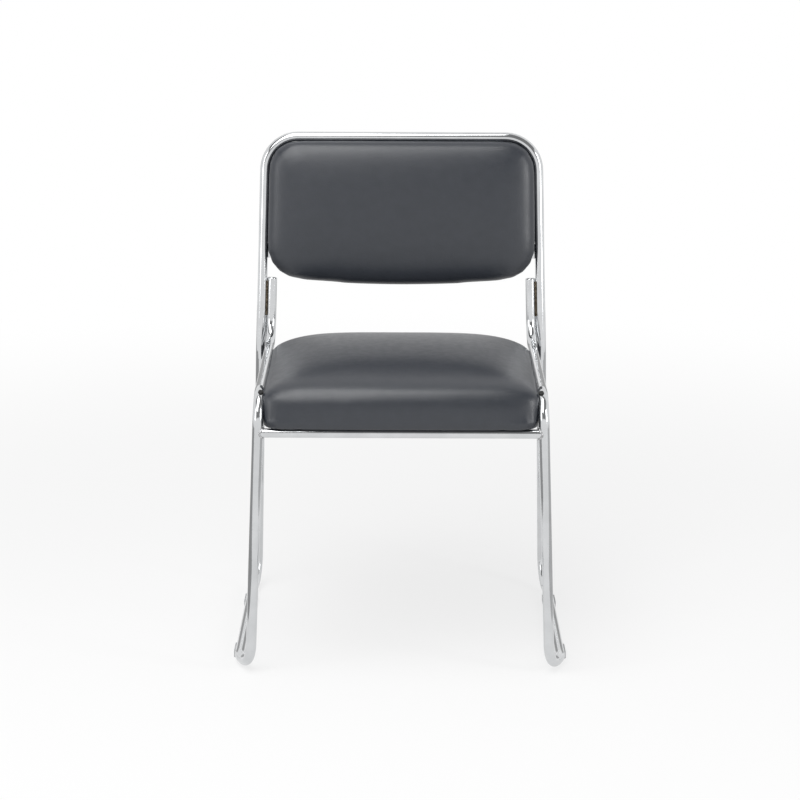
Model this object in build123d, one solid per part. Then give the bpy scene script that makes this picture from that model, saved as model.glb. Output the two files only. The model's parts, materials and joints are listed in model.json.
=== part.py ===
from build123d import *
import os
from dataclasses import dataclass
from math import atan2, cos, degrees, hypot, radians, sin, sqrt, tan

# Stacking conference chair: a bent steel tube frame with upholstered seat and back pads.
# X runs across the chair, Y from front to back and Z up. The origin is on the floor under the
# middle of the chair. Right is +X, as seen from the front. Sizes are in millimetres.

# Frame tube
TUBE_OD = 16.0
TUBE_WALL = 1.2
CROSS_OD = 14.0
CROSS_WALL = 1.2
WELD_GAP = 0.1  # left between two tubes that are welded side by side or end to side

# Back hoop, by the tube's centre line
HOOP_TOP_Z = 767.5
HOOP_TOP_Y = 229.0
HOOP_TOP_HALF = 223.5
HOOP_CORNER_R = 55.0
HOOP_RECLINE = 8.0  # degrees back from upright
HOOP_SPLAY = 1.5  # degrees outwards, going down
JOINT_Z = 472.0  # where the hoop meets the rear legs

# Side loops, by the tube's centre line
STUB_RISE = 5.5  # above the lowest point of the back pad
RAIL_REAR_Z = 431.0
RAIL_REAR_R = 45.0
RAIL_FRONT_Z = 437.0
RAIL_FRONT_Y = -224.0
RAIL_FRONT_HALF = 212.0
RAIL_FRONT_R = 45.0
FRONT_FOOT_Y = -222.0
FRONT_FOOT_HALF = 229.0
FRONT_FOOT_R = 38.0
RUNNER_HALF = 249.0
TOE_R = 60.0  # sideways bends at both ends of the runner
REAR_FOOT_Y = 206.0
REAR_FOOT_R = 45.0
KNEE_Z = 420.0  # where the rear leg turns into the upright
KNEE_R = 150.0

# Sleeves inside the joints of the hoop and the rear legs
SLEEVE_WALL = 1.5
SLEEVE_HALF_LENGTH = 26.0
SLEEVE_FIT = 0.1

# Cross tubes under the seat
FRONT_CROSS_Z = 381.5
CROSS_PITCH = 300.0  # front cross tube to rear cross tube, along the seat
REAR_CROSS_R = 20.0

# Plugs in the open ends of the stubs
PLUG_DOME = 4.0
PLUG_EDGE_R = 3.2
PLUG_STEM = 14.0
PLUG_FIT = 0.1

# Stacking bumpers on the front bends of the rails
BUMPER_TURN = 0.30  # share of the bend, from the rail's end
BUMPER_LEAN = 15.0  # degrees inwards
BUMPER_DIA = 8.0
BUMPER_HEIGHT = 3.0
BUMPER_STEM_DIA = 4.0
BUMPER_STEM = 4.0

# Floor glides, clipped under the runners
GLIDE_FLOOR = 2.5
GLIDE_ARM = 2.2
GLIDE_LENGTH = 40.0
GLIDE_EDGE_R = 2.0
GLIDE_PEG_DIA = 5.0
GLIDE_PEG = 4.0
GLIDE_FIT = 0.1
GLIDE_OFFSET = 8.0  # from the end of the toe bend to the glide

# Screws, washers and tee nuts
SCREW_DIA = 6.0
SCREW_HEAD_DIA = 12.0
SCREW_HEAD = 3.6
SCREW_TIP = 2.0  # shows past the tee nut
SLOT_LENGTH = 6.0
SLOT_WIDTH = 1.2
SLOT_DEPTH = 1.8
SCREW_CLEARANCE = 0.6
NUT_FLANGE_DIA = 19.0
NUT_FLANGE = 1.5
NUT_BARREL_DIA = 8.0
NUT_BARREL = 8.0
NUT_FIT = 0.1
WASHER_DIA = 14.0
WASHER = 1.2

# Staples
STAPLE_WIDTH = 10.0
STAPLE_WIRE = 1.0
STAPLE_CROWN = 0.6
STAPLE_LEG = 6.0
STAPLE_PITCH = 45.0

# Upholstery layers
COVER = 1.2
COVER_LIP = 22.0  # the cover is turned in by this much behind the board
FOAM_FIT = 0.3
FOAM_WRAP = 4.0  # foam that covers the edge of the board
CLOTH = 0.8
CLOTH_MARGIN = 5.0

# Seat pad
SEAT_OVERHANG = 13.3  # in front of the front cross tube
SEAT_LENGTH = 433.0
SEAT_SIDE_GAP = 0.5  # to the front ends of the seat rails
SEAT_REAR_GAP = 1.5  # to their rear ends
SEAT_BOARD = 12.0
SEAT_SCREW_HALF = 125.0
SEAT_FRONT_BOW = 4.0
SEAT_REAR_BOW = 9.0
SEAT_SIDE_DRAW = 0.3
SEAT_FRONT_R = 18.0
SEAT_REAR_R = 78.0
SEAT_TUCK = 6.0
SEAT_WIDEST = 12.0
SEAT_SHOULDER = 46.0
SEAT_ROLL = 26.0
SEAT_ROLL_RISE = 24.0
SEAT_DOME_RUN = 100.0
SEAT_DOME_RISE = 13.0

# Back pad
BACK_TOP_GAP = 0.5
BACK_SIDE_GAP = 0.5
BACK_HEIGHT = 232.0
BACK_FLARE = 4.5  # the pad is this much wider at its lower end, on each side
BACK_BOARD = 9.0
BACK_PANEL = 2.5
BACK_PANEL_MARGIN = 4.0
BACK_TOP_BOW = 0.2
BACK_BOTTOM_BOW = 15.0
BACK_SIDE_DRAW = 0.2
BACK_BOTTOM_R = 54.0
BACK_TUCK = 4.0
BACK_WIDEST = 5.0
BACK_SHOULDER = 17.0
BACK_ROLL = 20.0
BACK_ROLL_RISE = 16.0
BACK_DOME_RUN = 60.0
BACK_DOME_RISE = 6.0

# Tabs welded to the tubes, which carry the pads
TAB = 2.5
TAB_WIDTH = 24.0
TAB_CORNER_R = 6.0
SEAT_TAB_REACH = 38.0  # from the tube's axis
BACK_TAB_REACH = 46.0
BACK_TAB_UPPER = 62.0  # below the top bar
BACK_TAB_LOWER = 53.0  # above the lowest point of the pad

# Stations of a pad's rounded edge, in degrees, and of its crown, as shares of the run
ROLL_ANGLES = (28, 55, 80)
DOME_SHARES = (0.35, 0.68, 1.0)

RUNNER_Z = GLIDE_FLOOR + TUBE_OD / 2
SPLAY_RUN = tan(radians(HOOP_SPLAY))
RECLINE_RUN = tan(radians(HOOP_RECLINE))
BACK_TOP = TUBE_OD / 2 + BACK_TOP_GAP  # down from the top bar, along the hoop
BACK_BOTTOM = BACK_TOP + BACK_HEIGHT
BACK_TAB_DROPS = (BACK_TAB_UPPER, BACK_BOTTOM - BACK_TAB_LOWER)
STUB_TOP_Z = HOOP_TOP_Z - BACK_BOTTOM * cos(radians(HOOP_RECLINE)) + STUB_RISE
MIRROR = Plane.YZ


def hoop_point(z, inwards=0.0):
    """A point at height z on the right upright, or on a line beside it, further in."""
    drop = HOOP_TOP_Z - z
    return Vector(HOOP_TOP_HALF + drop * SPLAY_RUN - inwards, HOOP_TOP_Y - drop * RECLINE_RUN, z)


def flipped(point):
    return Vector(-point.X, point.Y, point.Z)


def swept(path, diameter):
    """Solid rod along a path."""
    return sweep(Plane(path @ 0, z_dir=path % 0) * Circle(diameter / 2), path=path)


def tube(path, outer, wall):
    return swept(path, outer) - swept(path, outer - 2 * wall)


def rod(diameter, start, axis, length):
    """Straight round bar from a point along an axis."""
    return Plane(start, z_dir=axis) * Cylinder(
        diameter / 2, length, align=(Align.CENTER, Align.CENTER, Align.MIN)
    )


def hoop_path():
    foot = hoop_point(JOINT_Z)
    corner = hoop_point(HOOP_TOP_Z)
    return FilletPolyline(flipped(foot), flipped(corner), corner, foot, radius=HOOP_CORNER_R)


def stub_offset():
    """Sideways distance between the upright and the stub, so that the two tubes just miss."""
    lean = hypot(1, SPLAY_RUN, RECLINE_RUN)
    return (TUBE_OD + WELD_GAP) / sqrt(1 - (SPLAY_RUN / lean) ** 2)


RAIL_REAR = hoop_point(RAIL_REAR_Z, stub_offset())
RAIL_FRONT = Vector(RAIL_FRONT_HALF, RAIL_FRONT_Y, RAIL_FRONT_Z)
FRONT_FOOT = Vector(FRONT_FOOT_HALF, FRONT_FOOT_Y, RUNNER_Z)
TOE_SHARE = 0.2  # of the toe bend's radius, which its slight turn takes up
FRONT_TOE = Vector(RUNNER_HALF, FRONT_FOOT_Y + FRONT_FOOT_R + TOE_SHARE * TOE_R, RUNNER_Z)
REAR_TOE = Vector(RUNNER_HALF, REAR_FOOT_Y - REAR_FOOT_R - TOE_SHARE * TOE_R, RUNNER_Z)
REAR_FOOT = Vector(hoop_point(RUNNER_Z).X, REAR_FOOT_Y, RUNNER_Z)


def loop_path():
    """Right side loop: stub, rail, front leg, runner and rear leg."""
    return FilletPolyline(
        hoop_point(STUB_TOP_Z, stub_offset()),
        RAIL_REAR,
        RAIL_FRONT,
        FRONT_FOOT,
        FRONT_TOE,
        REAR_TOE,
        REAR_FOOT,
        hoop_point(KNEE_Z),
        hoop_point(JOINT_Z),
        radius=(RAIL_REAR_R, RAIL_FRONT_R, FRONT_FOOT_R, TOE_R, TOE_R, REAR_FOOT_R, KNEE_R),
    )


HOOP = hoop_path()
LOOP = loop_path()
FRONT_BEND = LOOP.edges()[3]
HOOP_ROD = swept(HOOP, TUBE_OD + 2 * WELD_GAP)
LOOP_ROD = swept(LOOP, TUBE_OD + 2 * WELD_GAP)
LOOP_RODS = [LOOP_ROD, mirror(LOOP_ROD, about=MIRROR)]

# The seat pad lies in the plane of the rails: its own y axis starts above the front cross tube
SEAT_FALL = degrees(atan2(RAIL_FRONT_Z - RAIL_REAR_Z, RAIL_REAR.Y - RAIL_FRONT_Y))
LEG_SHARE = (RAIL_FRONT_Z - FRONT_CROSS_Z) / (RAIL_FRONT_Z - RUNNER_Z)
FRONT_CROSS = RAIL_FRONT + (FRONT_FOOT - RAIL_FRONT) * LEG_SHARE
SEAT_UP = Vector(0, sin(radians(SEAT_FALL)), cos(radians(SEAT_FALL)))
SEAT_BACK = Vector(0, cos(radians(SEAT_FALL)), -sin(radians(SEAT_FALL)))
SEAT_ORIGIN = Vector(0, FRONT_CROSS.Y, FRONT_CROSS.Z) + SEAT_UP * (CROSS_OD / 2 + WELD_GAP)
SEAT = Plane(SEAT_ORIGIN, x_dir=(1, 0, 0), z_dir=SEAT_UP)

# The back pad lies in the plane of the hoop: its own y axis runs up from the top bar, z forwards
BACK_FRONT = Vector(0, -cos(radians(HOOP_RECLINE)), sin(radians(HOOP_RECLINE)))
BACK = Plane((0, HOOP_TOP_Y, HOOP_TOP_Z), x_dir=(1, 0, 0), z_dir=BACK_FRONT)


def upright_half(drop):
    """Half the distance between the uprights, a drop below the top bar along the hoop."""
    return HOOP_TOP_HALF + drop * cos(radians(HOOP_RECLINE)) * SPLAY_RUN


@dataclass
class Outline:
    """Four-sided outline with bowed ends, drawn-in sides and rounded corners."""

    half_low: float
    half_high: float
    low: float
    high: float
    bow_low: float
    bow_high: float
    draw: float
    r_low: float
    r_high: float

    def drawn_in(self, inset):
        broad = 1 - inset / self.half_low
        tight = 1 - inset / min(self.half_low, self.half_high, (self.high - self.low) / 2)
        return Outline(
            self.half_low - inset,
            self.half_high - inset,
            self.low + inset,
            self.high - inset,
            self.bow_low * broad,
            self.bow_high * broad,
            self.draw * broad,
            self.r_low * tight,
            self.r_high * tight,
        )

    def face(self):
        middle = (self.low + self.high) / 2
        waist = (self.half_low + self.half_high) / 2 - self.draw
        low_left, low_right = (-self.half_low, self.low), (self.half_low, self.low)
        high_left, high_right = (-self.half_high, self.high), (self.half_high, self.high)
        sides = [
            ThreePointArc(low_left, (0, self.low - self.bow_low), low_right),
            ThreePointArc(low_right, (waist, middle), high_right),
            ThreePointArc(high_right, (0, self.high + self.bow_high), high_left),
            ThreePointArc(high_left, (-waist, middle), low_left),
        ]
        plate = make_face(sides)
        plate = fillet(plate.vertices().sort_by(Axis.Y)[:2], self.r_low)
        return fillet(plate.vertices().sort_by(Axis.Y)[-2:], self.r_high).face()

    def slab(self, bottom, thickness):
        return Pos(0, 0, bottom) * extrude(self.face(), thickness)


@dataclass
class Pad:
    """Crowned pad: its outline, how its sides are drawn in and how its edge rolls to the crown."""

    outline: Outline
    tuck: float
    widest: float
    shoulder: float
    roll: float
    roll_rise: float
    dome_run: float
    dome_rise: float

    def solid(self, skin, bottom):
        """The pad, thinner by a skin all round, from a bottom height upwards."""
        stations = [(self.tuck + skin, bottom), (skin, self.widest), (skin, self.shoulder)]
        for angle in ROLL_ANGLES:
            turn = radians(angle)
            inset = self.roll - (self.roll - skin) * cos(turn)
            stations.append((inset, self.shoulder + (self.roll_rise - skin) * sin(turn)))
        crown = self.shoulder + self.roll_rise - skin
        for share in DOME_SHARES:
            rise = self.dome_rise * (1 - (1 - share) ** 2)
            stations.append((self.roll + self.dome_run * share, crown + rise))
        rings = [Pos(0, 0, z) * self.outline.drawn_in(inset).face() for inset, z in stations]
        return loft(rings, ruled=True)

    def cover(self):
        """Skin over the pad, turned in behind the board."""
        opening = self.outline.drawn_in(self.tuck + COVER_LIP).slab(-COVER, 3 * COVER)
        return self.solid(0, 0) - self.solid(COVER, COVER) - opening

    def board(self, thickness):
        inset = self.tuck + COVER + FOAM_FIT + FOAM_WRAP
        return self.outline.drawn_in(inset).slab(COVER, thickness)

    def foam(self, board):
        return self.solid(COVER + FOAM_FIT, COVER) - board

    def staples(self, keep_clear):
        """Staples along the middle of the turned-in cover, pressed flush, away from the screws."""
        line = self.outline.drawn_in(self.tuck + COVER_LIP / 2 + FOAM_WRAP).face().outer_wire()
        count = int(line.length / STAPLE_PITCH)
        room = STAPLE_WIDTH / 2 + SCREW_DIA + SCREW_CLEARANCE
        staples = []
        for index in range(count):
            point = line.position_at(index / count)
            along = line.tangent_at(index / count)
            if all(hypot(point.X - x, point.Y - y) > room for x, y in keep_clear):
                staples.append(Plane(point, x_dir=along, z_dir=(0, 0, 1)) * staple())
        return staples


def staple():
    upright = (Align.CENTER, Align.CENTER, Align.MIN)
    crown = Box(STAPLE_WIDTH, STAPLE_WIRE, STAPLE_CROWN, align=upright)
    leg = Box(STAPLE_CROWN, STAPLE_WIRE, STAPLE_LEG, align=upright)
    reach = (STAPLE_WIDTH - STAPLE_CROWN) / 2
    return crown + Pos(-reach, 0, 0) * leg + Pos(reach, 0, 0) * leg


def screw(shank):
    """Pan head screw: the head's bearing face is at z = 0 and the shank points up."""
    up = (Align.CENTER, Align.CENTER, Align.MIN)
    down = (Align.CENTER, Align.CENTER, Align.MAX)
    head = Cylinder(SCREW_HEAD_DIA / 2, SCREW_HEAD, align=down)
    head = fillet(head.edges().sort_by(Axis.Z)[0], SCREW_HEAD / 2)
    for length, width in ((SLOT_LENGTH, SLOT_WIDTH), (SLOT_WIDTH, SLOT_LENGTH)):
        head -= Pos(0, 0, -SCREW_HEAD) * Box(length, width, SLOT_DEPTH, align=up)
    return head + Cylinder(SCREW_DIA / 2, shank, align=up)


def tee_nut():
    """Tee nut: the flange rests on z = 0 and the barrel hangs down."""
    up = (Align.CENTER, Align.CENTER, Align.MIN)
    down = (Align.CENTER, Align.CENTER, Align.MAX)
    flange = Cylinder(NUT_FLANGE_DIA / 2, NUT_FLANGE, align=up)
    barrel = Cylinder(NUT_BARREL_DIA / 2, NUT_BARREL, align=down)
    return flange + barrel - Cylinder(SCREW_DIA / 2 + NUT_FIT, 4 * NUT_BARREL)


def washer():
    """Plain washer whose face is at z = 0, below it."""
    down = (Align.CENTER, Align.CENTER, Align.MAX)
    hole = Cylinder((SCREW_DIA + SCREW_CLEARANCE) / 2, 4 * WASHER)
    return Cylinder(WASHER_DIA / 2, WASHER, align=down) - hole


def tab(reach):
    """Plate on z = 0 from a tube's axis at the origin along x, with a screw hole near its end."""
    plate = Box(reach, TAB_WIDTH, TAB, align=(Align.MIN, Align.CENTER, Align.MIN))
    plate = fillet(plate.edges().filter_by(Axis.Z).sort_by(Axis.X)[-2:], TAB_CORNER_R)
    hole = Cylinder((SCREW_DIA + SCREW_CLEARANCE) / 2, 4 * TAB)
    return plate - Pos(reach - TAB_WIDTH / 2, 0, 0) * hole


def holes_at(points, diameter, length):
    return [Pos(x, y, 0) * Cylinder(diameter / 2, length) for x, y in points]


def group(shapes):
    return Compound(children=list(shapes))


def bench(plane, shapes):
    """A list of shapes moved from a pad's own axes into place."""
    return [plane * shape for shape in shapes]


def glide(y, side):
    """Saddle clipped under the right or left runner at y, with a peg in the runner's wall."""
    width = TUBE_OD + 2 * (GLIDE_FIT + GLIDE_ARM)
    block = Box(width, GLIDE_LENGTH, RUNNER_Z, align=(Align.CENTER, Align.CENTER, Align.MIN))
    block = fillet(block.edges().filter_by(Axis.Z), GLIDE_EDGE_R)
    block = fillet(block.faces().sort_by(Axis.Z)[0].edges(), GLIDE_EDGE_R / 2)
    seat = Pos(0, 0, RUNNER_Z) * Rot(90, 0, 0) * Cylinder(TUBE_OD / 2 + GLIDE_FIT, 2 * GLIDE_LENGTH)
    peg = Pos(0, 0, GLIDE_FLOOR / 2) * Cylinder(
        GLIDE_PEG_DIA / 2,
        GLIDE_FLOOR / 2 + TUBE_WALL + GLIDE_PEG,
        align=(Align.CENTER, Align.CENTER, Align.MIN),
    )
    return Pos(side * RUNNER_HALF, y, 0) * (block - seat + peg)


def glide_places():
    inset = TOE_SHARE * TOE_R + GLIDE_OFFSET + GLIDE_LENGTH / 2
    return {"front": FRONT_TOE.Y + inset, "rear": REAR_TOE.Y - inset}


def bumper_axis():
    """Foot and direction of the right stacking bumper on the rail's front bend."""
    on_line = FRONT_BEND.position_at(BUMPER_TURN)
    outwards = (on_line - FRONT_BEND.arc_center).normalized()
    axis = outwards * cos(radians(BUMPER_LEAN)) + Vector(-sin(radians(BUMPER_LEAN)), 0, 0)
    axis = axis.normalized()
    return on_line, axis


def bumper():
    """Domed button with a stem through the tube's wall."""
    centre, axis = bumper_axis()
    foot = centre + axis * (TUBE_OD / 2)
    head = rod(BUMPER_DIA, foot - axis * BUMPER_HEIGHT, axis, 2 * BUMPER_HEIGHT)
    head = fillet(head.edges().sort_by_distance(foot + axis * BUMPER_HEIGHT)[0], BUMPER_HEIGHT / 2)
    stem = rod(BUMPER_STEM_DIA, foot - axis * BUMPER_STEM, axis, BUMPER_STEM)
    return head - LOOP_ROD + stem


def stub_plug():
    """Domed plug in the stub's open end."""
    top = LOOP @ 0
    axis = LOOP.tangent_at(0) * -1
    bore = TUBE_OD - 2 * TUBE_WALL
    dome = rod(TUBE_OD, top, axis, PLUG_DOME)
    dome = fillet(dome.edges().sort_by_distance(top + axis * PLUG_DOME)[0], PLUG_EDGE_R)
    return dome + rod(bore - 2 * PLUG_FIT, top - axis * PLUG_STEM, axis, PLUG_STEM)


def joint_sleeve():
    """Short inner tube across the joint of the hoop and the rear leg."""
    middle = hoop_point(JOINT_Z)
    axis = (hoop_point(HOOP_TOP_Z) - middle).normalized()
    start = middle - axis * SLEEVE_HALF_LENGTH
    outer = TUBE_OD - 2 * TUBE_WALL - 2 * SLEEVE_FIT
    length = 2 * SLEEVE_HALF_LENGTH
    return rod(outer, start, axis, length) - rod(outer - 2 * SLEEVE_WALL, start, axis, length)


def side_loop():
    """Right side loop with the holes for its glides and its bumper."""
    loop = tube(LOOP, TUBE_OD, TUBE_WALL)
    for y in glide_places().values():
        start = (RUNNER_HALF, y, 0)
        loop -= rod(GLIDE_PEG_DIA + 2 * GLIDE_FIT, start, (0, 0, 1), RUNNER_Z)
    centre, axis = bumper_axis()
    return loop - rod(BUMPER_STEM_DIA + 2 * GLIDE_FIT, centre, axis, TUBE_OD)


def seat_screw_points():
    """Screw points of the seat tabs: behind the front cross tube and in front of the rear one."""
    reach = SEAT_TAB_REACH - TAB_WIDTH / 2
    sides = (-SEAT_SCREW_HALF, SEAT_SCREW_HALF)
    return [(x, y) for y in (reach, CROSS_PITCH - reach) for x in sides]


def cross_paths():
    """Centre lines of the straight front tube and of the rear tube, which hangs from the rails."""
    front = Line(flipped(FRONT_CROSS), FRONT_CROSS)
    middle = SEAT_ORIGIN + SEAT_BACK * CROSS_PITCH - SEAT_UP * (CROSS_OD / 2 + WELD_GAP)
    share = (middle.Y - RAIL_FRONT_Y) / (RAIL_REAR.Y - RAIL_FRONT_Y)
    on_rail = RAIL_FRONT + (RAIL_REAR - RAIL_FRONT) * share
    below = Vector(on_rail.X, middle.Y, middle.Z)
    rear = FilletPolyline(flipped(on_rail), flipped(below), below, on_rail, radius=REAR_CROSS_R)
    return front, rear


def seat_tabs():
    """Tabs under the seat, flush with the top of the cross tubes and cut to them."""
    tabs = []
    for path, y, turn in zip(cross_paths(), (0, CROSS_PITCH), (90, -90)):
        cut = swept(path, CROSS_OD + 2 * WELD_GAP)
        for x in (-SEAT_SCREW_HALF, SEAT_SCREW_HALF):
            tabs.append(SEAT * Pos(x, y, -TAB) * Rot(0, 0, turn) * tab(SEAT_TAB_REACH) - cut)
    return tabs


def seat_pad():
    outline = Outline(
        half_low=RAIL_FRONT.X - TUBE_OD / 2 - SEAT_SIDE_GAP,
        half_high=RAIL_REAR.X - TUBE_OD / 2 - SEAT_REAR_GAP,
        low=SEAT_FRONT_BOW - SEAT_OVERHANG,
        high=SEAT_LENGTH - SEAT_OVERHANG - SEAT_REAR_BOW,
        bow_low=SEAT_FRONT_BOW,
        bow_high=SEAT_REAR_BOW,
        draw=SEAT_SIDE_DRAW,
        r_low=SEAT_FRONT_R,
        r_high=SEAT_REAR_R,
    )
    return Pad(
        outline,
        SEAT_TUCK,
        SEAT_WIDEST,
        SEAT_SHOULDER,
        SEAT_ROLL,
        SEAT_ROLL_RISE,
        SEAT_DOME_RUN,
        SEAT_DOME_RISE,
    )


def back_pad():
    half = HOOP_TOP_HALF - TUBE_OD / 2 - BACK_SIDE_GAP
    outline = Outline(
        half_low=half + BACK_FLARE,
        half_high=half,
        low=BACK_BOTTOM_BOW - BACK_BOTTOM,
        high=-BACK_TOP - BACK_TOP_BOW,
        bow_low=BACK_BOTTOM_BOW,
        bow_high=BACK_TOP_BOW,
        draw=BACK_SIDE_DRAW,
        r_low=BACK_BOTTOM_R,
        r_high=HOOP_CORNER_R - TUBE_OD / 2 - BACK_TOP_GAP,
    )
    return Pad(
        outline,
        BACK_TUCK,
        BACK_WIDEST,
        BACK_SHOULDER,
        BACK_ROLL,
        BACK_ROLL_RISE,
        BACK_DOME_RUN,
        BACK_DOME_RISE,
    )


def upholstery(pad, board_thickness, points):
    """Board, foam, cover, staples and tee nuts of a pad, in the pad's own axes."""
    top = COVER + board_thickness
    staples = pad.staples(points)
    board = pad.board(board_thickness)
    foam = pad.foam(board)
    pocket = NUT_FLANGE + NUT_FIT + SCREW_TIP
    for x, y in points:
        foam -= Pos(x, y, top + pocket / 2) * Cylinder(NUT_FLANGE_DIA / 2 + NUT_FIT, pocket)
    board -= holes_at(points, NUT_BARREL_DIA + 2 * NUT_FIT, 4 * top)
    return {
        "board": board - staples,
        "foam": foam,
        "cover": pad.cover() - staples - holes_at(points, SCREW_DIA + SCREW_CLEARANCE, 4 * COVER),
        "staples": group(staples),
        "tee_nuts": group([Pos(x, y, top) * tee_nut() for x, y in points]),
    }


def seat_nodes():
    """Seat pad on the cross tubes: the dust cloth is lowest, then cover, board and foam."""
    pad = seat_pad()
    points = seat_screw_points()
    nodes = {}
    for name, shape in upholstery(pad, SEAT_BOARD, points).items():
        nodes["seat_" + name] = SEAT * Pos(0, 0, CLOTH) * shape
    cloth = pad.outline.drawn_in(pad.tuck + CLOTH_MARGIN).slab(0, CLOTH)
    cloth -= holes_at(points, SCREW_DIA + SCREW_CLEARANCE, 4 * CLOTH)
    nodes["seat_dust_cloth"] = SEAT * cloth
    nodes["seat_washers"] = group(bench(SEAT, [Pos(x, y, -TAB) * washer() for x, y in points]))
    bearing = -TAB - WASHER
    shank = CLOTH + COVER + SEAT_BOARD + NUT_FLANGE + SCREW_TIP - bearing
    nodes["seat_screws"] = group(
        bench(SEAT, [Pos(x, y, bearing) * screw(shank) for x, y in points])
    )
    nodes["seat_tabs"] = group(seat_tabs())
    return nodes


def back_screw_points():
    """Screw points of the back tabs, in the back pad's axes."""
    points = []
    for drop in BACK_TAB_DROPS:
        reach = upright_half(drop) - BACK_TAB_REACH + TAB_WIDTH / 2
        points += [(-reach, -drop), (reach, -drop)]
    return points


def back_tabs():
    """Tabs behind the back pad, flush with the back of the uprights and cut to them."""
    tabs = []
    for drop in BACK_TAB_DROPS:
        for side, turn in ((-1, 0), (1, 180)):
            place = Pos(side * upright_half(drop), -drop, -TUBE_OD / 2) * Rot(0, 0, turn)
            tabs.append(BACK * place * tab(BACK_TAB_REACH) - HOOP_ROD)
    return tabs


def back_nodes():
    """Back pad in front of its tabs: rear panel, cover, board and foam, from the rear forwards."""
    pad = back_pad()
    points = back_screw_points()
    panel_rear = TAB - TUBE_OD / 2
    nodes = {}
    for name, shape in upholstery(pad, BACK_BOARD, points).items():
        nodes["back_" + name] = BACK * Pos(0, 0, panel_rear + BACK_PANEL) * shape
    panel = pad.outline.drawn_in(pad.tuck + BACK_PANEL_MARGIN).slab(panel_rear, BACK_PANEL)
    panel -= holes_at(points, SCREW_DIA + SCREW_CLEARANCE, 2 * TUBE_OD)
    nodes["back_rear_panel"] = BACK * panel
    tab_rear = -TUBE_OD / 2
    nodes["back_washers"] = group(
        bench(BACK, [Pos(x, y, tab_rear) * washer() for x, y in points])
    )
    bearing = tab_rear - WASHER
    shank = WASHER + TAB + BACK_PANEL + COVER + BACK_BOARD + NUT_FLANGE + SCREW_TIP
    nodes["back_screws"] = group(
        bench(BACK, [Pos(x, y, bearing) * screw(shank) for x, y in points])
    )
    nodes["back_tabs"] = group(back_tabs())
    return nodes


def frame_nodes():
    front, rear = [tube(path, CROSS_OD, CROSS_WALL) - LOOP_RODS for path in cross_paths()]
    nodes = {
        "back_hoop": tube(HOOP, TUBE_OD, TUBE_WALL),
        "front_cross_tube": front,
        "rear_cross_tube": rear,
    }
    sided = {
        "side_loop": side_loop(),
        "joint_sleeve": joint_sleeve(),
        "stub_plug": stub_plug(),
        "stacking_bumper": bumper(),
    }
    for name, shape in sided.items():
        nodes["right_" + name] = shape
        nodes["left_" + name] = mirror(shape, about=MIRROR)
    for end, y in glide_places().items():
        for name, side in (("left", -1), ("right", 1)):
            nodes[f"{end}_{name}_glide"] = glide(y, side)
    return nodes


os.makedirs("parts", exist_ok=True)
for node, shape in {**frame_nodes(), **seat_nodes(), **back_nodes()}.items():
    export_step(shape, f"parts/{node}.step")
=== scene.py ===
import json
import math

import bmesh
import bpy
import numpy as np
from mathutils import Matrix, Vector, noise
from mathutils.bvhtree import BVHTree


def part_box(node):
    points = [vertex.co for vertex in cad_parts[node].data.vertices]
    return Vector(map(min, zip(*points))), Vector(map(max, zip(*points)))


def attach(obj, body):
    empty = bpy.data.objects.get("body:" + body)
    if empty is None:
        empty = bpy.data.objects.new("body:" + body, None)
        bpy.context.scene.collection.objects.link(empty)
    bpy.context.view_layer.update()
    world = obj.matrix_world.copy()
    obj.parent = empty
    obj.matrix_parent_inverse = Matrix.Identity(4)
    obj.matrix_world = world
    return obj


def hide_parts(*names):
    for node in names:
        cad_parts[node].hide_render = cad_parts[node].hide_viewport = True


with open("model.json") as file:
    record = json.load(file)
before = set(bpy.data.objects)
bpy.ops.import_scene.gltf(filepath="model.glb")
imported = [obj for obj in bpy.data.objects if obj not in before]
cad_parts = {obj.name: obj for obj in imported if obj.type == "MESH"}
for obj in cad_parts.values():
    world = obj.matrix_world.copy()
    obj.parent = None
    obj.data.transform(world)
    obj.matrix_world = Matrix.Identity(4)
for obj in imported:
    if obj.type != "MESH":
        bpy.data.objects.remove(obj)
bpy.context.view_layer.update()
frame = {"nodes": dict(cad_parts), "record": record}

# Looks of the stacking conference chair, in metres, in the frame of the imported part.
# X runs across the chair, Y from front to back and Z up.

NODES = frame["nodes"]
scene = bpy.context.scene

# Pads: a skin over the solid starts thinner than it and swells back as cloth
VOXEL = 0.005
EVENING = 16  # rounds of smoothing
THINNED = 0.0025  # at the top
PRESSURE = 4.0
LAST_FRAME = 20
END_SNUG = 0.0018  # the skin presses this far past the solid's ends
FREE_BULGE = 0.003  # allowed past the outline where no tube is beside the pad
OUTLINE_SIDES = 240
SIDE_FACING = 0.95  # a part of the outline that faces sideways at least this much is a side
HOLD_ROUNDS = 3  # passes that pull points back inside the outline
SOLE = 0.0002  # the pad's underside, held by the board
SOLE_BAND = 0.0015  # points below this height belong to it
ROLL_HOLD = 0.012  # below this height the ends keep their place when the roll is rounded
TUCK_TOP = 0.016  # below this height the stuffing pushes the pad's edge out
TUCK_FADE = 0.010  # height over which that sets in
SIDE_FADE = 0.030  # the same along the sides
FILL_REACH = 0.030  # only points this close to the outline are moved
FILL = 0.9  # share of the room that the stuffing fills

# Each pad: rounds of smoothing for the shoulders, the outline and the rolls at the ends, how far it
# presses against the tubes beside it, how high its sides are filled out, the share of half its width
# that a corner takes, and the seed of its slow waves
SEAT_PAD = {
    "rounding": 70, "plan_rounding": 4, "roll_rounding": 90,
    "snug": 0.0050, "side_top": 0.066, "corner_share": 0.15, "seed": 3.0,
}
BACK_PAD = {
    "rounding": 14, "plan_rounding": 12, "roll_rounding": 0,
    "snug": 0.0018, "side_top": 0.0, "corner_share": 0.25, "seed": 11.0,
}

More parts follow.
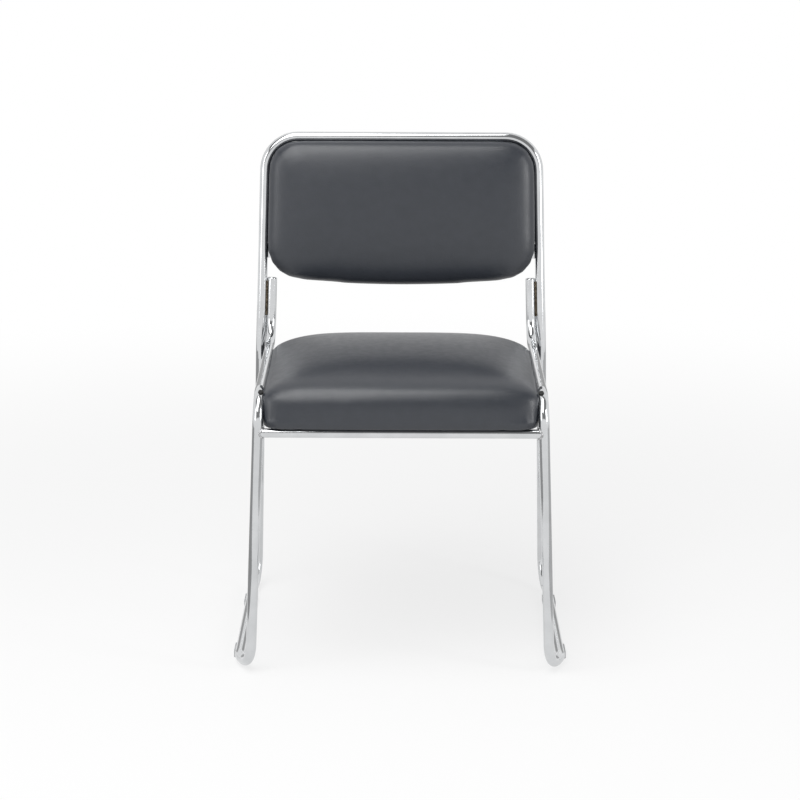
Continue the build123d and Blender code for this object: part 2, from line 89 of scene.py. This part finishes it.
# Unevenness of stuffed upholstery
DENT_SIZE = 0.11
DENT_DEPTH = 0.0004
PLEAT_COUNT = 16  # in a full turn
PLEAT_START = 0.4  # share of the corner's reach
PLEAT_FOCUS = 3  # the higher, the closer the gathers keep to the corner's middle
PLEAT_DEPTH = 0.0008
PLEAT_RISE = 0.022  # height over which they fade

# Weld beads
BEAD = 0.0016
BEAD_STEP = 0.0007
BEAD_CLEARANCE = 0.0003  # between the tube that is welded on and the bead's middle
RIPPLE = 0.14
RIPPLE_STEPS = 3
TUBE_END = 0.006  # depth of a tube's shaped end
GROOVE = 0.0049  # from the line of contact of two tubes to the bead between them
STUB_WELD = (-0.003, 0.054)  # from and to, down from the middle of the plug

# Rear panel and dust cloth
RINGS = 24
SPOKES = 160
PANEL_EDGE = 40  # the higher, the tighter the panel's edge is rolled
CLOTH_SAG = 0.0012
CLOTH_PUCKER = 0.0003
CLOTH_PUCKERS = 31
PUCKER_EDGE = 8  # the higher, the closer the puckers keep to the edge
CLOTH_THICKNESS = 0.0004

# Range in which most values of a noise lie
NOISE_LOW, NOISE_HIGH = 0.3, 0.7

# Floor, light and camera
FLOOR_HALF = 14.0
FLOOR_NEAR = 0.6  # from here the floor's own shading fades
FLOOR_FAR = 2.6  # and from here it is plain white
FLOOR_WHITE = 0.72  # share of plain white close to the chair
AMBIENT = 0.45
AIM = Vector((0.0, 0.05, 0.5))
LAMPS = {
    "overhead": ((-0.50, -0.95, 2.35), (1.3, 2.1), 36.0),
    "left": ((-1.9, -1.2, 1.2), (0.5, 1.2), 5.0),
    "right": ((1.9, -1.2, 1.2), (0.5, 1.2), 11.0),
}
# Cards that only reflections see: two opposite corners, and brightness
FRONT_Y, FRONT_Z, CEILING_Y, CEILING_Z = -4.8, 1.9, 0.3, 3.2
CARD_HALF = 3.5
SIDE_X, SIDE_FAR_X, SIDE_FRONT_Y, SIDE_REAR_Y, SIDE_Z = 0.50, 2.6, -0.7, 2.6, 0.003
REAR_X, REAR_Y, REAR_Z = 0.45, 4.0, 1.3
CARDS = {
    "front_card": (((-CARD_HALF, FRONT_Y, FRONT_Z), (CARD_HALF, FRONT_Y, CEILING_Z)), 0.26),
    "ceiling_card": (((-CARD_HALF, FRONT_Y, CEILING_Z), (CARD_HALF, CEILING_Y, CEILING_Z)), 0.26),
    "left_card": (((-SIDE_FAR_X, SIDE_FRONT_Y, SIDE_Z), (-SIDE_X, SIDE_REAR_Y, SIDE_Z)), 0.38),
    "right_card": (((SIDE_X, SIDE_FRONT_Y, SIDE_Z), (SIDE_FAR_X, SIDE_REAR_Y, SIDE_Z)), 0.58),
    "left_rear_card": (((-SIDE_FAR_X, REAR_Y, 0), (-REAR_X, REAR_Y, REAR_Z)), 0.42),
    "right_rear_card": (((REAR_X, REAR_Y, 0), (SIDE_FAR_X, REAR_Y, REAR_Z)), 0.42),
}
CAMERA_PLACE = (-0.0039, -3.5369, 1.2478)
CAMERA_PAN, CAMERA_DIP, CAMERA_ROLL = -0.04, 13.815, 0.24  # degrees
CAMERA_SENSOR = 36
CAMERA_LENS = 103.19


# Geometry helpers


def points_of(node):
    """Corners of a CAD node as rows."""
    return np.array([v.co for v in NODES[node].data.vertices])


def plate_axes(node, outward):
    """Own axes of a flat CAD plate: x across the chair, y along the plate and z outward."""
    points = points_of(node)
    middle = points.mean(axis=0)
    normal = Vector(np.linalg.svd(points - middle, full_matrices=False)[2][2])
    if normal.dot(Vector(outward)) < 0:
        normal.negate()
    across = Vector((1, 0, 0))
    axes = Matrix((across, normal.cross(across), normal)).transposed().to_4x4()
    axes.translation = Vector(middle)
    return axes


def in_axes(points, axes):
    """World points in a plate's own axes."""
    turn = np.array(axes.to_3x3())
    return (points - np.array(axes.translation)) @ turn


def new_object(name, data):
    made = bpy.data.objects.new(name, data)
    scene.collection.objects.link(made)
    return made


def mesh_from(name, points, faces):
    mesh = bpy.data.meshes.new(name)
    mesh.from_pydata([tuple(p) for p in points], [], faces)
    mesh.update()
    return mesh


def joined(name, nodes, axes):
    """Several CAD nodes as one mesh, in a plate's own axes."""
    whole = bmesh.new()
    for node in nodes:
        whole.from_mesh(NODES[node].data)
    whole.transform(axes.inverted())
    mesh = bpy.data.meshes.new(name)
    whole.to_mesh(mesh)
    whole.free()
    return mesh


def applied(item):
    """Replaces an object's mesh by what its modifiers give."""
    seen = item.evaluated_get(bpy.context.evaluated_depsgraph_get())
    mesh = bpy.data.meshes.new_from_object(seen)
    item.modifiers.clear()
    item.data = mesh
    return item


def coordinates(mesh):
    flat = np.empty(len(mesh.vertices) * 3, np.float32)
    mesh.vertices.foreach_get("co", flat)
    return flat.reshape(-1, 3).astype(float)


def normals_of(mesh):
    flat = np.empty(len(mesh.vertices) * 3, np.float32)
    mesh.vertices.foreach_get("normal", flat)
    return flat.reshape(-1, 3).astype(float)


def set_coordinates(mesh, points):
    mesh.vertices.foreach_set("co", points.astype(np.float32).ravel())
    mesh.update()


def smoothed(points, edges, rounds, keep=None):
    """Laplacian smoothing along the edges; kept points stay."""
    counts = np.zeros(len(points))
    np.add.at(counts, edges[:, 0], 1)
    np.add.at(counts, edges[:, 1], 1)
    for _ in range(rounds):
        sums = np.zeros_like(points)
        np.add.at(sums, edges[:, 0], points[edges[:, 1]])
        np.add.at(sums, edges[:, 1], points[edges[:, 0]])
        moved = sums / counts[:, None]
        if keep is not None:
            moved[keep] = points[keep]
        points = moved
    return points


def evened(points, edges):
    """Smoothing that keeps the size: what it takes away is smoothed as well and put back."""
    soft = smoothed(points, edges, EVENING)
    return soft + smoothed(points - soft, edges, EVENING)


def outline_of(points):
    """Directions all round a pad's plan, and how far its points reach in each."""
    angles = np.linspace(0, 2 * math.pi, OUTLINE_SIDES, endpoint=False)
    normals = np.c_[np.cos(angles), np.sin(angles)]
    return normals, (points[:, :2] @ normals.T).max(axis=0)


def loosened(outline, snug):
    """An outline with the little room that a soft pad takes."""
    normals, distances = outline
    return normals, distances + np.where(np.abs(normals[:, 0]) > SIDE_FACING, snug, FREE_BULGE)


# Pads


def fitted(points, solid, snug):
    """Points stretched so that they fill a solid's box and press a little past its sides."""
    low, high = points.min(axis=0), points.max(axis=0)
    room = np.array([snug, END_SNUG, 0])
    new_low, new_high = solid.min(axis=0) - room, solid.max(axis=0) + room
    return new_low + (points - low) * (new_high - new_low) / (high - low)


def held_inside(points, outline):
    """Points pulled back inside a plan outline."""
    normals, distances = outline
    for _ in range(HOLD_ROUNDS):
        past = points[:, :2] @ normals.T - distances
        worst = past.argmax(axis=1)
        over = np.maximum(past[np.arange(len(points)), worst], 0)
        points[:, :2] -= over[:, None] * normals[worst]
    return points


def filled_out(points, outline, side_top):
    """Points near the edge moved out: low on the pad all round, and higher up along its sides."""
    normals, distances = outline
    gaps = distances - points[:, :2] @ normals.T
    nearest = gaps.argmin(axis=1)
    gap = gaps[np.arange(len(points)), nearest]
    tuck = np.clip((TUCK_TOP - points[:, 2]) / TUCK_FADE, 0, 1)
    side = np.clip((side_top - points[:, 2]) / SIDE_FADE, 0, 1) * normals[nearest, 0] ** 2
    share = FILL * np.maximum(tuck, side) * np.clip(1 - gap / FILL_REACH, 0, 1) ** 0.5
    points[:, :2] += (share * gap)[:, None] * normals[nearest]
    return points


def swollen(item, edges, sole):
    """Heights of a pad that is thinned and then swells back as cloth, with its sole held."""
    normals = normals_of(item.data)
    rise = np.clip(normals[:, 2], 0, 1)
    thin = coordinates(item.data)
    thin[:, 2] -= THINNED * rise
    set_coordinates(item.data, thin)
    group = item.vertex_groups.new(name="sole")
    group.add([int(i) for i in np.flatnonzero(sole)], 1.0, "REPLACE")
    cloth = item.modifiers.new("cloth", "CLOTH")
    cloth.settings.use_pressure = True
    cloth.settings.uniform_pressure_force = PRESSURE
    cloth.settings.vertex_group_mass = "sole"
    cloth.settings.effector_weights.gravity = 0
    for number in range(1, LAST_FRAME + 1):
        scene.frame_set(number)
    applied(item)
    scene.frame_set(1)
    lift = smoothed((coordinates(item.data) - thin)[:, 2:], edges, EVENING, sole)[:, 0]
    return thin[:, 2] + lift * THINNED / lift.max()


def pleats(points, normals, outline_corners):
    """Small gathers under the corners, where the cover is pulled round."""
    shift = np.zeros(len(points))
    for centre, reach in outline_corners:
        away = points[:, :2] - centre
        angle = np.arctan2(away[:, 1], away[:, 0])
        towards = np.cos(angle - math.atan2(centre[1], centre[0]))
        out = np.hypot(away[:, 0], away[:, 1]) / reach
        near = np.clip((out - PLEAT_START) / (1 - PLEAT_START), 0, 1)
        low_down = np.exp(-((points[:, 2] / PLEAT_RISE) ** 2))
        share = np.clip(towards, 0, 1) ** PLEAT_FOCUS * near * low_down
        shift += share * np.cos(PLEAT_COUNT * angle)
    return points + normals * (PLEAT_DEPTH * shift)[:, None]


def dents(points, normals, seed):
    """Slow waves in the stuffing."""
    depth = [noise.noise(Vector(p) / DENT_SIZE + Vector((seed, 0, 0))) for p in points]
    return points + normals * (DENT_DEPTH * np.array(depth))[:, None]


def pad(
    name, nodes, board, axes, rounding, plan_rounding, roll_rounding, snug, side_top, corner_share, seed
):
    """Stuffed pad over CAD foam and cover, in the pad's own axes, closed and flat underneath."""
    item = new_object(name, joined(name, (*nodes, board), axes))
    solid = coordinates(item.data)
    base = solid[:, 2].min()
    solid[:, 2] -= base
    set_coordinates(item.data, solid)
    remesh = item.modifiers.new("remesh", "REMESH")
    remesh.mode = "VOXEL"
    remesh.voxel_size = VOXEL
    applied(item)
    edges = np.array([e.vertices[:] for e in item.data.edges])
    points = evened(coordinates(item.data), edges)
    sole = points[:, 2] < SOLE_BAND
    points[:, 2:] = smoothed(points[:, 2:], edges, rounding, sole)
    outline = loosened(outline_of(solid), snug)
    points = filled_out(fitted(points, solid, snug), outline, side_top)
    points[:, :2] = smoothed(points[:, :2], edges, plan_rounding)
    points[:, 1:2] = smoothed(points[:, 1:2], edges, roll_rounding, points[:, 2] < ROLL_HOLD)
    points = fitted(points, solid, snug)
    points[sole, 2] = SOLE
    set_coordinates(item.data, points)
    points[:, 2] = swollen(item, edges, sole)
    mesh = item.data
    points = held_inside(points, outline)
    set_coordinates(mesh, points)
    half = np.abs(solid[:, 0]).max()
    corners = []
    for x in (-1, 1):
        for y in (solid[:, 1].min(), solid[:, 1].max()):
            reach = corner_share * half
            corners.append((np.array([x * (half - reach), y - math.copysign(reach, y)]), reach))
    points = pleats(points, normals_of(mesh), corners)
    points = dents(points, normals_of(mesh), seed)
    set_coordinates(mesh, held_inside(points, outline))
    mesh.shade_smooth()
    rest = axes.copy()
    rest.translation = axes @ Vector((0, 0, base))
    mesh.transform(rest)
    mesh.update()
    subdivision = item.modifiers.new("subdivision", "SUBSURF")
    subdivision.levels = 1
    subdivision.render_levels = 1
    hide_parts(*nodes)
    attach(item, "root")
    return item


# Materials


def material(name):
    made = bpy.data.materials.new(name)
    made.use_nodes = True
    return made, made.node_tree, made.node_tree.nodes["Principled BSDF"]


def place(tree):
    """Coordinates in metres, in the frame of the part."""
    return tree.nodes.new("ShaderNodeTexCoord").outputs["Object"]


def noise_of(tree, scale, detail=3.0):
    node = tree.nodes.new("ShaderNodeTexNoise")
    node.inputs["Scale"].default_value = scale
    node.inputs["Detail"].default_value = detail
    tree.links.new(place(tree), node.inputs["Vector"])
    return node.outputs["Fac"]


def cells_of(tree, scale, feature="DISTANCE_TO_EDGE"):
    node = tree.nodes.new("ShaderNodeTexVoronoi")
    node.feature = feature
    node.inputs["Scale"].default_value = scale
    tree.links.new(place(tree), node.inputs["Vector"])
    return node.outputs["Distance"]


def between(tree, factor, low, high):
    """A value that runs from low to high with a noise."""
    node = tree.nodes.new("ShaderNodeMapRange")
    node.inputs["From Min"].default_value = NOISE_LOW
    node.inputs["From Max"].default_value = NOISE_HIGH
    node.inputs["To Min"].default_value = low
    node.inputs["To Max"].default_value = high
    tree.links.new(factor, node.inputs["Value"])
    return node.outputs["Result"]


def colours(tree, factor, *stops):
    """Colour ramp over a factor, from pairs of a place and a colour."""
    ramp = tree.nodes.new("ShaderNodeValToRGB")
    while len(ramp.color_ramp.elements) < len(stops):
        ramp.color_ramp.elements.new(0.5)
    for element, (where, colour) in zip(ramp.color_ramp.elements, stops):
        element.position = where
        element.color = (*colour, 1)
    tree.links.new(factor, ramp.inputs["Fac"])
    return ramp.outputs["Color"]


def bump(tree, shader, height, distance, strength=1.0):
    node = tree.nodes.new("ShaderNodeBump")
    node.inputs["Strength"].default_value = strength
    node.inputs["Distance"].default_value = distance
    tree.links.new(height, node.inputs["Height"])
    tree.links.new(node.outputs["Normal"], shader.inputs["Normal"])


def leather_material():
    made, tree, shader = material("artificial_leather")
    clouds = noise_of(tree, 60.0)
    tone = colours(tree, clouds, (0.3, (0.020, 0.024, 0.032)), (0.7, (0.024, 0.028, 0.037)))
    tree.links.new(tone, shader.inputs["Base Color"])
    tree.links.new(between(tree, noise_of(tree, 90.0), 0.33, 0.39), shader.inputs["Roughness"])
    shader.inputs["Specular IOR Level"].default_value = 0.7
    grain = tree.nodes.new("ShaderNodeMath")
    grain.operation = "MULTIPLY_ADD"
    grain.inputs[1].default_value = 0.6
    tree.links.new(cells_of(tree, 800.0), grain.inputs[0])
    tree.links.new(noise_of(tree, 420.0), grain.inputs[2])
    bump(tree, shader, grain.outputs["Value"], 0.00018, 0.6)
    return made


def chrome_material():
    made, tree, shader = material("chrome_plate")
    shader.inputs["Metallic"].default_value = 1.0
    tone = colours(tree, noise_of(tree, 30.0), (0.35, (0.60, 0.61, 0.62)), (0.65, (0.66, 0.67, 0.68)))
    tree.links.new(tone, shader.inputs["Base Color"])
    tree.links.new(between(tree, noise_of(tree, 55.0, 6.0), 0.06, 0.13), shader.inputs["Roughness"])
    bump(tree, shader, noise_of(tree, 160.0), 0.000006)
    return made


def weld_material(name, dark, light):
    made, tree, shader = material(name)
    shader.inputs["Metallic"].default_value = 1.0
    tone = colours(tree, noise_of(tree, 220.0), (0.35, dark), (0.65, light))
    tree.links.new(tone, shader.inputs["Base Color"])
    tree.links.new(between(tree, noise_of(tree, 500.0), 0.22, 0.40), shader.inputs["Roughness"])
    bump(tree, shader, noise_of(tree, 900.0), 0.0001)
    return made


def zinc_material():
    made, tree, shader = material("zinc_plate")
    shader.inputs["Metallic"].default_value = 1.0
    tone = colours(tree, noise_of(tree, 260.0), (0.3, (0.50, 0.50, 0.47)), (0.7, (0.66, 0.66, 0.64)))
    tree.links.new(tone, shader.inputs["Base Color"])
    tree.links.new(between(tree, noise_of(tree, 700.0), 0.28, 0.45), shader.inputs["Roughness"])
    bump(tree, shader, noise_of(tree, 1500.0), 0.00005)
    return made


def plywood_material():
    made, tree, shader = material("birch_plywood")
    stretch = tree.nodes.new("ShaderNodeMapping")
    stretch.inputs["Scale"].default_value = (60.0, 6.0, 400.0)
    tree.links.new(place(tree), stretch.inputs["Vector"])
    grain = tree.nodes.new("ShaderNodeTexNoise")
    grain.inputs["Scale"].default_value = 1.0
    grain.inputs["Detail"].default_value = 5.0
    tree.links.new(stretch.outputs["Vector"], grain.inputs["Vector"])
    tone = colours(tree, grain.outputs["Fac"], (0.3, (0.42, 0.27, 0.14)), (0.7, (0.70, 0.53, 0.34)))
    tree.links.new(tone, shader.inputs["Base Color"])
    shader.inputs["Roughness"].default_value = 0.65
    bump(tree, shader, grain.outputs["Fac"], 0.0002)
    return made


def dust_cloth_material():
    made, tree, shader = material("non_woven_cloth")
    fibres = noise_of(tree, 300.0, 6.0)
    tone = colours(tree, fibres, (0.35, (0.012, 0.012, 0.013)), (0.65, (0.030, 0.030, 0.032)))
    tree.links.new(tone, shader.inputs["Base Color"])
    shader.inputs["Roughness"].default_value = 0.9
    bump(tree, shader, cells_of(tree, 380.0, "F1"), 0.0003)
    return made


def plastic_material():
    made, tree, shader = material("moulded_plastic")
    tone = colours(tree, noise_of(tree, 90.0), (0.3, (0.42, 0.43, 0.44)), (0.7, (0.50, 0.51, 0.52)))
    tree.links.new(tone, shader.inputs["Base Color"])
    tree.links.new(between(tree, noise_of(tree, 400.0), 0.38, 0.55), shader.inputs["Roughness"])
    bump(tree, shader, noise_of(tree, 1800.0), 0.00006)
    return made


def rubber_material():
    made, tree, shader = material("black_rubber")
    clouds = noise_of(tree, 200.0)
    tone = colours(tree, clouds, (0.3, (0.010, 0.010, 0.010)), (0.7, (0.018, 0.018, 0.018)))
    tree.links.new(tone, shader.inputs["Base Color"])
    tree.links.new(between(tree, noise_of(tree, 900.0), 0.60, 0.80), shader.inputs["Roughness"])
    bump(tree, shader, noise_of(tree, 2400.0), 0.00005)
    return made


def foam_material():
    made, tree, shader = material("open_cell_foam")
    tone = colours(tree, noise_of(tree, 60.0), (0.3, (0.62, 0.55, 0.36)), (0.7, (0.74, 0.68, 0.48)))
    tree.links.new(tone, shader.inputs["Base Color"])
    shader.inputs["Roughness"].default_value = 0.95
    bump(tree, shader, cells_of(tree, 700.0), 0.0005)
    return made


MATERIALS = {
    "chrome_tube": chrome_material(),
    "zinc_steel": zinc_material(),
    "plywood": plywood_material(),
    "foam": foam_material(),
    "upholstery": leather_material(),
    "dust_cloth": dust_cloth_material(),
    "glide_plastic": plastic_material(),
    "bumper_rubber": rubber_material(),
}
for part in frame["record"]["subparts"]:
    mesh = NODES[part["node"]].data
    mesh.materials.clear()
    mesh.materials.append(MATERIALS[part["material_slot"]])

SEAT_AXES = plate_axes("seat_dust_cloth", (0, 0, 1))
BACK_AXES = plate_axes("back_rear_panel", (0, -1, 0))
seat = pad("seat_cushion", ("seat_foam", "seat_cover"), "seat_board", SEAT_AXES, **SEAT_PAD)
back = pad("back_cushion", ("back_foam", "back_cover"), "back_board", BACK_AXES, **BACK_PAD)
for cushion in (seat, back):
    cushion.data.materials.append(MATERIALS["upholstery"])

# Weld beads


def surface_of(node):
    return BVHTree.FromObject(NODES[node], bpy.context.evaluated_depsgraph_get())


def ring_on(surface, centre, radius, towards):
    """Ring where a round tube meets a surface, found along the tube."""
    towards = Vector(towards)
    side = towards.orthogonal().normalized()
    other = towards.cross(side)
    count = round(2 * math.pi * radius / BEAD_STEP)
    path = []
    for step in range(count):
        angle = 2 * math.pi * step / count
        start = Vector(centre) + radius * (math.cos(angle) * side + math.sin(angle) * other)
        path.append(surface.ray_cast(start, towards)[0])
    return path


def front_cross_rings(surfaces):
    low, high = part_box("front_cross_tube")
    middle = Vector((0, (low[1] + high[1]) / 2, (low[2] + high[2]) / 2))
    radius = (high[2] - low[2]) / 2 + BEAD_CLEARANCE
    return [ring_on(surface, middle, radius, (x, 0, 0)) for x, surface in surfaces.items()]


def rear_cross_rings(surfaces):
    points = points_of("rear_cross_tube")
    ends = points[points[:, 2] > points[:, 2].max() - TUBE_END]
    rings = []
    for x, surface in surfaces.items():
        end = ends[ends[:, 0] * x > 0]
        low, high = Vector(end.min(axis=0)), Vector(end.max(axis=0))
        radius = (high.y - low.y) / 2 + BEAD_CLEARANCE
        rings.append(ring_on(surface, (low + high) / 2 - Vector((0, 0, TUBE_END)), radius, (0, 0, 1)))
    return rings


def stub_beads(hoop, axes):
    """Long beads in the grooves between a stub and the upright beside it."""
    down = -axes.col[1].to_3d()
    outward = axes.col[2].to_3d()
    first, last = STUB_WELD
    steps = round((last - first) / BEAD_STEP)
    paths = []
    for x, plug in ((-1, "left_stub_plug"), (1, "right_stub_plug")):
        low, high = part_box(plug)
        top = (Vector(low) + Vector(high)) / 2
        for face in (-GROOVE, GROOVE):
            path = []
            for step in range(steps + 1):
                start = top + (first + (last - first) * step / steps) * down
                path.append(hoop.ray_cast(start, (x, 0, 0))[0] + face * outward)
            paths.append(path)
    return paths


def beads(name, paths, closed):
    """Rippled weld beads along paths, as one piece."""
    curve = bpy.data.curves.new(name, "CURVE")
    curve.dimensions = "3D"
    curve.bevel_depth = BEAD
    curve.bevel_resolution = 3
    curve.use_fill_caps = True
    for path in paths:
        spline = curve.splines.new("POLY")
        spline.points.add(len(path) - 1)
        spline.use_cyclic_u = closed
        for step, (point, spot) in enumerate(zip(spline.points, path)):
            point.co = (*spot, 1)
            point.radius = 1 + RIPPLE * math.sin(2 * math.pi * step / RIPPLE_STEPS)
    drawn = new_object(name + "_path", curve)
    mesh = bpy.data.meshes.new_from_object(drawn.evaluated_get(bpy.context.evaluated_depsgraph_get()))
    bpy.data.objects.remove(drawn)
    mesh.shade_smooth()
    item = new_object(name, mesh)
    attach(item, "root")
    return item


LOOPS = {-1: surface_of("left_side_loop"), 1: surface_of("right_side_loop")}
cross_welds = beads("weld_beads", front_cross_rings(LOOPS) + rear_cross_rings(LOOPS), closed=True)
cross_welds.data.materials.append(weld_material("plated_weld", (0.40, 0.40, 0.40), (0.60, 0.60, 0.61)))
stub_welds = beads("stub_welds", stub_beads(surface_of("back_hoop"), BACK_AXES), closed=False)
# The stub beads' dark brown colour is painted shade: it darkens the grooves where each stub meets its
# upright, while the bead itself is real weld.
stub_welds.data.materials.append(weld_material("stub_weld_painted_groove_shade", (0.04, 0.032, 0.022), (0.14, 0.115, 0.085)))

# Rear panel and dust cloth


def disc(name, axes, outline, height):
    """Mesh of rings and spokes inside a plan outline; height gives z from x, y, share and angle."""
    normals, distances = outline
    points = [(0, 0, height(0, 0, 0, 0))]
    for ring in range(1, RINGS + 1):
        share = math.sin(math.pi / 2 * ring / RINGS)
        for spoke in range(SPOKES):
            angle = 2 * math.pi * spoke / SPOKES
            ahead = normals @ np.array([math.cos(angle), math.sin(angle)])
            reach = share * (distances[ahead > 0] / ahead[ahead > 0]).min()
            x, y = reach * math.cos(angle), reach * math.sin(angle)
            points.append((x, y, height(x, y, share, angle)))
    faces = [(0, 1 + k, 1 + (k + 1) % SPOKES) for k in range(SPOKES)]
    for ring in range(RINGS - 1):
        near, far = 1 + ring * SPOKES, 1 + (ring + 1) * SPOKES
        for k in range(SPOKES):
            after = (k + 1) % SPOKES
            faces.append((near + k, far + k, far + after, near + after))
    mesh = mesh_from(name, points, faces)
    mesh.transform(axes)
    mesh.shade_smooth()
    return mesh


def rear_panel(node, axes):
    """Covered panel that closes the back, with a rolled edge."""
    solid = in_axes(points_of(node), axes)
    front, rear = solid[:, 2].max(), solid[:, 2].min()

    def height(x, y, share, angle):
        return front + (rear - front) * (1 - share ** PANEL_EDGE) ** 0.5

    item = new_object("rear_panel", disc("rear_panel", axes, outline_of(solid), height))
    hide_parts(node)
    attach(item, "root")
    return item


def dust_cloth(node, axes):
    """Thin cloth stapled over the underside: it sags between the cross tubes and puckers at its edge."""
    solid = in_axes(points_of(node), axes)
    front = in_axes(points_of("front_cross_tube"), axes)[:, 1].mean()
    rear = in_axes(points_of("rear_cross_tube"), axes)[:, 1].mean()

    def height(x, y, share, angle):
        along = min(max((y - front) / (rear - front), 0), 1)
        sag = CLOTH_SAG * math.sin(math.pi * along) ** 2 * (1 - share ** 2)
        return CLOTH_PUCKER * math.cos(CLOTH_PUCKERS * angle) * share ** PUCKER_EDGE - sag

    item = new_object("dust_cloth", disc("dust_cloth", axes, outline_of(solid), height))
    skin = item.modifiers.new("skin", "SOLIDIFY")
    skin.thickness = CLOTH_THICKNESS
    skin.offset = 0
    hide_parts(node)
    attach(item, "root")
    return item


panel_piece = rear_panel("back_rear_panel", BACK_AXES)
panel_piece.data.materials.append(MATERIALS["upholstery"])
cloth_piece = dust_cloth("seat_dust_cloth", SEAT_AXES)
cloth_piece.data.materials.append(MATERIALS["dust_cloth"])

# Floor, light and camera


def highest(tree, *values):
    """The highest of several values."""
    result = values[0]
    for value in values[1:]:
        node = tree.nodes.new("ShaderNodeMath")
        node.operation = "MAXIMUM"
        tree.links.new(result, node.inputs[0])
        tree.links.new(value, node.inputs[1])
        result = node.outputs["Value"]
    return result


def seen_directly(tree):
    """1 where the background is seen, also in metal, and 0 where it only lights."""
    rays = tree.nodes.new("ShaderNodeLightPath").outputs
    return highest(tree, rays["Is Camera Ray"], rays["Is Glossy Ray"], rays["Is Transmission Ray"])


def floor_material():
    made, tree, shader = material("pale_floor")
    shader.inputs["Base Color"].default_value = (0.9, 0.9, 0.9, 1)
    shader.inputs["Roughness"].default_value = 0.9
    shader.inputs["Specular IOR Level"].default_value = 0.0
    white = tree.nodes.new("ShaderNodeEmission")
    away = tree.nodes.new("ShaderNodeVectorMath")
    away.operation = "LENGTH"
    tree.links.new(place(tree), away.inputs[0])
    fade = tree.nodes.new("ShaderNodeMapRange")
    fade.interpolation_type = "SMOOTHSTEP"
    fade.inputs["From Min"].default_value = FLOOR_NEAR
    fade.inputs["From Max"].default_value = FLOOR_FAR
    fade.inputs["To Min"].default_value = FLOOR_WHITE
    fade.inputs["To Max"].default_value = 1.0
    tree.links.new(away.outputs["Value"], fade.inputs["Value"])
    share = tree.nodes.new("ShaderNodeMath")
    share.operation = "MULTIPLY"
    tree.links.new(fade.outputs["Result"], share.inputs[0])
    tree.links.new(seen_directly(tree), share.inputs[1])
    mix = tree.nodes.new("ShaderNodeMixShader")
    tree.links.new(share.outputs["Value"], mix.inputs["Fac"])
    tree.links.new(shader.outputs["BSDF"], mix.inputs[1])
    tree.links.new(white.outputs["Emission"], mix.inputs[2])
    tree.links.new(mix.outputs["Shader"], tree.nodes["Material Output"].inputs["Surface"])
    return made


def white_world():
    world = bpy.data.worlds.new("white_studio")
    world.use_nodes = True
    tree = world.node_tree
    background = tree.nodes["Background"]
    background.inputs["Color"].default_value = (1, 1, 1, 1)
    strength = tree.nodes.new("ShaderNodeMapRange")
    strength.inputs["To Min"].default_value = AMBIENT
    strength.inputs["To Max"].default_value = 1.0
    tree.links.new(seen_directly(tree), strength.inputs["Value"])
    tree.links.new(strength.outputs["Result"], background.inputs["Strength"])
    return world


def softbox(name, location, size, watts):
    light = bpy.data.lights.new(name, "AREA")
    light.shape = "RECTANGLE"
    light.size, light.size_y = size
    light.energy = watts
    lamp = new_object(name, light)
    lamp.location = location
    lamp.rotation_euler = (AIM - lamp.location).to_track_quat("-Z", "Y").to_euler()


def grey_card(name, corners, brightness):
    """Upright or level grey card, between two opposite corners, that shades the tubes' reflections."""
    (x0, y0, z0), (x1, y1, z1) = corners
    if z0 == z1:
        ring = [(x0, y0, z0), (x1, y0, z0), (x1, y1, z0), (x0, y1, z0)]
    else:
        ring = [(x0, y0, z0), (x1, y1, z0), (x1, y1, z1), (x0, y0, z1)]
    card = new_object(name, mesh_from(name, ring, [(0, 1, 2, 3)]))
    made, _, shader = material(name)
    shader.inputs["Base Color"].default_value = (0, 0, 0, 1)
    shader.inputs["Specular IOR Level"].default_value = 0.0
    shader.inputs["Emission Color"].default_value = (1, 1, 1, 1)
    shader.inputs["Emission Strength"].default_value = brightness
    card.data.materials.append(made)
    card.visible_camera = False
    card.visible_diffuse = False
    card.visible_shadow = False


ground = [(x * FLOOR_HALF, y * FLOOR_HALF, 0) for x, y in ((-1, -1), (1, -1), (1, 1), (-1, 1))]
floor = new_object("floor", mesh_from("floor", ground, [(0, 1, 2, 3)]))
floor.data.materials.append(floor_material())
scene.world = white_world()
for name, (location, size, watts) in LAMPS.items():
    softbox(name, location, size, watts)
for name, (corners, brightness) in CARDS.items():
    grey_card(name, corners, brightness)
scene.view_settings.view_transform = "Standard"

camera = new_object("camera", bpy.data.cameras.new("camera"))
camera.location = CAMERA_PLACE
pan = Matrix.Rotation(math.radians(CAMERA_PAN), 3, "Z")
tilt = Matrix.Rotation(math.radians(90 - CAMERA_DIP), 3, "X")
roll = Matrix.Rotation(math.radians(CAMERA_ROLL), 3, "Z")
camera.rotation_euler = (pan @ tilt @ roll).to_euler()
camera.data.sensor_width = CAMERA_SENSOR
camera.data.lens = CAMERA_LENS
scene.camera = camera
